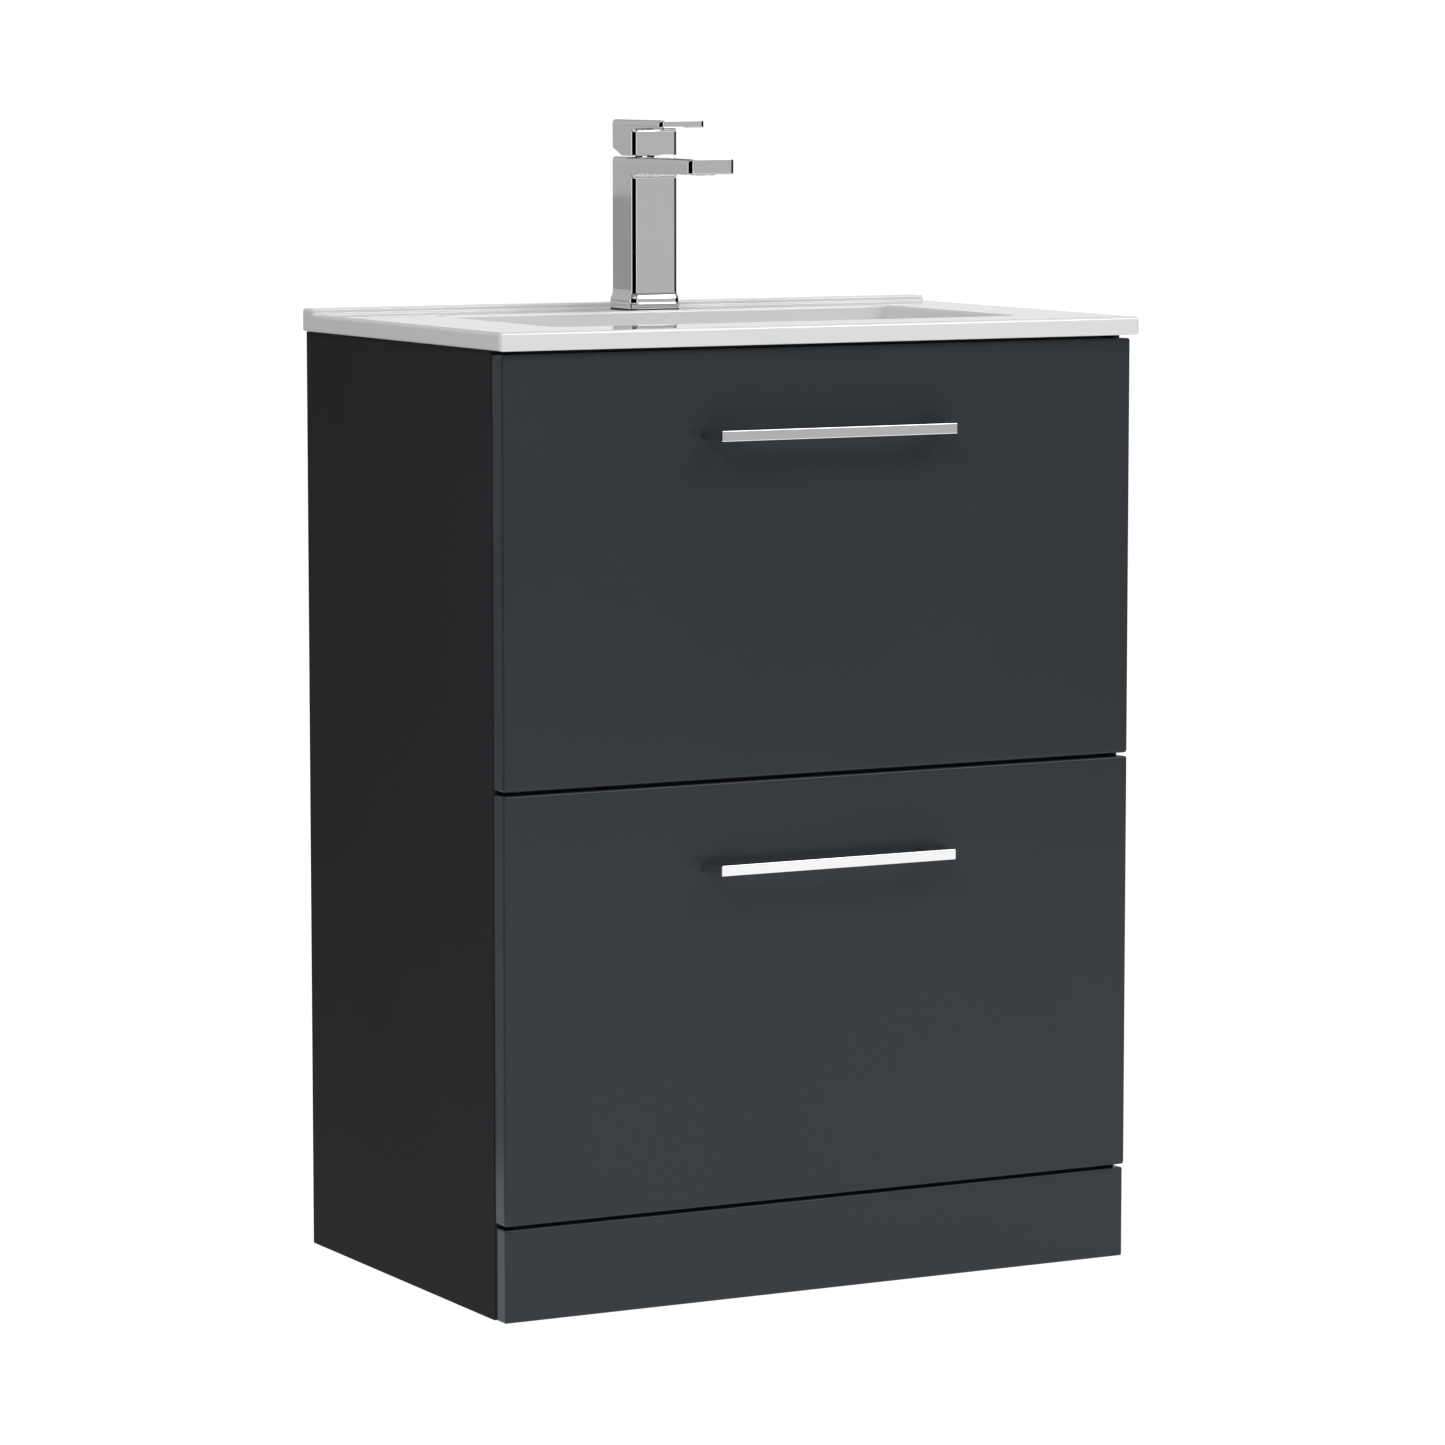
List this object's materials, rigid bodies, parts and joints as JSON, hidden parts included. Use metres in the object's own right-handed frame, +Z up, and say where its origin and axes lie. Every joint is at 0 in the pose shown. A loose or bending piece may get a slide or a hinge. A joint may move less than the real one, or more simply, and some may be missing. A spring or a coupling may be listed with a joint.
{
  "type": "bathroom vanity cabinet",
  "caption": "Floor-standing anthracite vanity cabinet with drawers on ball runners, a white ceramic basin, square chrome mixer tap, push plug and bottle trap.",
  "frame": {"origin": "on the floor, at the bottom centre of the whole object's box (handles to wall)", "axes": "+X to the right seen from the front, +Y towards the wall, +Z up; the drawers open along -Y"},
  "size_m": [0.608, 0.411, 0.9822],
  "materials": {
    "front_panel": "satin anthracite lacquer",
    "carcass_panel": "satin anthracite lacquer",
    "inner_board": "matt anthracite foil",
    "drawer_board": "fine linen-textured grey foil",
    "dowel_wood": "raw beech",
    "block_plastic": "moulded",
    "zinc_fitting": "zinc plated",
    "runner_steel": "zinc plated",
    "soft_clear": "soft translucent",
    "ceramic": "white glaze",
    "chrome": "polished chrome",
    "rubber": "matt",
    "trap_plastic": "moulded white",
    "brass_fitting": "turned",
    "cartridge_plastic": "moulded grey"
  },
  "bodies": {
    "cabinet": {"side_panel_left": "carcass_panel", "side_panel_right": "carcass_panel", "base_panel": "inner_board", "plinth_front": "front_panel", "plinth_rear_rail": "inner_board", "plinth_corner_blocks": "block_plastic", "back_rail_top": "inner_board", "back_rail_bottom": "inner_board", "front_rail_top": "inner_board", "middle_rail": "inner_board", "panel_dowels": "dowel_wood", "cam_housings": "zinc_fitting", "cam_bolts": "zinc_fitting", "wall_brackets": "zinc_fitting", "carcass_screws": "zinc_fitting", "drawer_bumpers": "soft_clear", "runner_outers": "runner_steel", "basin": "ceramic", "overflow_ring": "chrome", "waste_body": "chrome", "waste_seal": "rubber", "waste_backnut": "trap_plastic", "trap_inlet_nut": "trap_plastic", "trap_body": "trap_plastic", "trap_cup": "trap_plastic", "trap_outlet_nut": "trap_plastic", "outlet_pipe": "trap_plastic", "tap_body": "chrome", "tap_base_seal": "rubber", "tap_aerator": "cartridge_plastic", "cartridge": "cartridge_plastic", "cartridge_nut": "brass_fitting", "tap_fixing_stud": "zinc_fitting", "inlet_tails": "brass_fitting", "horseshoe_washer": "zinc_fitting", "tap_fixing_nut": "zinc_fitting"},
    "lower_drawer": {"lower_drawer_front": "front_panel", "lower_drawer_sides": "drawer_board", "lower_drawer_base": "drawer_board", "lower_drawer_back": "drawer_board", "lower_handle": "chrome", "lower_drawer_screws": "zinc_fitting", "lower_runner_inners": "runner_steel"},
    "lower_runners": {"lower_runner_middles": "runner_steel"},
    "upper_drawer": {"upper_drawer_front": "front_panel", "upper_drawer_sides": "drawer_board", "upper_drawer_base": "drawer_board", "upper_drawer_backs": "drawer_board", "upper_recess_sides": "drawer_board", "upper_recess_front": "drawer_board", "upper_handle": "chrome", "upper_drawer_screws": "zinc_fitting", "upper_runner_inners": "runner_steel"},
    "upper_runners": {"upper_runner_middles": "runner_steel"},
    "plug": {"waste_plug": "chrome"},
    "turret": {"cartridge_turret": "cartridge_plastic", "stem_pin": "zinc_fitting"},
    "lever": {"lever_handle": "chrome", "lever_stem": "brass_fitting", "lever_grub_screw": "zinc_fitting"}
  },
  "joints": [
    {"name": "lower_drawer_slide", "type": "slide", "parent": "cabinet", "child": "lower_drawer", "axis": [0, -1, 0], "range_m": [0, 0.28]},
    {"name": "lower_runner_slide", "type": "slide", "parent": "cabinet", "child": "lower_runners", "axis": [0, -1, 0], "range_m": [0, 0.14]},
    {"name": "upper_drawer_slide", "type": "slide", "parent": "cabinet", "child": "upper_drawer", "axis": [0, -1, 0], "range_m": [0, 0.28]},
    {"name": "upper_runner_slide", "type": "slide", "parent": "cabinet", "child": "upper_runners", "axis": [0, -1, 0], "range_m": [0, 0.14]},
    {"name": "plug_lift", "type": "slide", "parent": "cabinet", "child": "plug", "axis": [0, 0, 1], "range_m": [0, 0.008]},
    {"name": "lever_turn", "type": "hinge", "parent": "cabinet", "child": "turret", "pos_m": [0, 0.1485, 0.9498], "axis": [0, 0, 1], "range_deg": [-45, 45]},
    {"name": "lever_lift", "type": "hinge", "parent": "turret", "child": "lever", "pos_m": [0, 0.1485, 0.9558], "axis": [-1, 0, 0], "range_deg": [0, 20]}
  ],
  "couplings": [
    {"joint": "lower_runner_slide", "follows": "lower_drawer_slide", "ratio": 0.5},
    {"joint": "upper_runner_slide", "follows": "upper_drawer_slide", "ratio": 0.5}
  ]
}
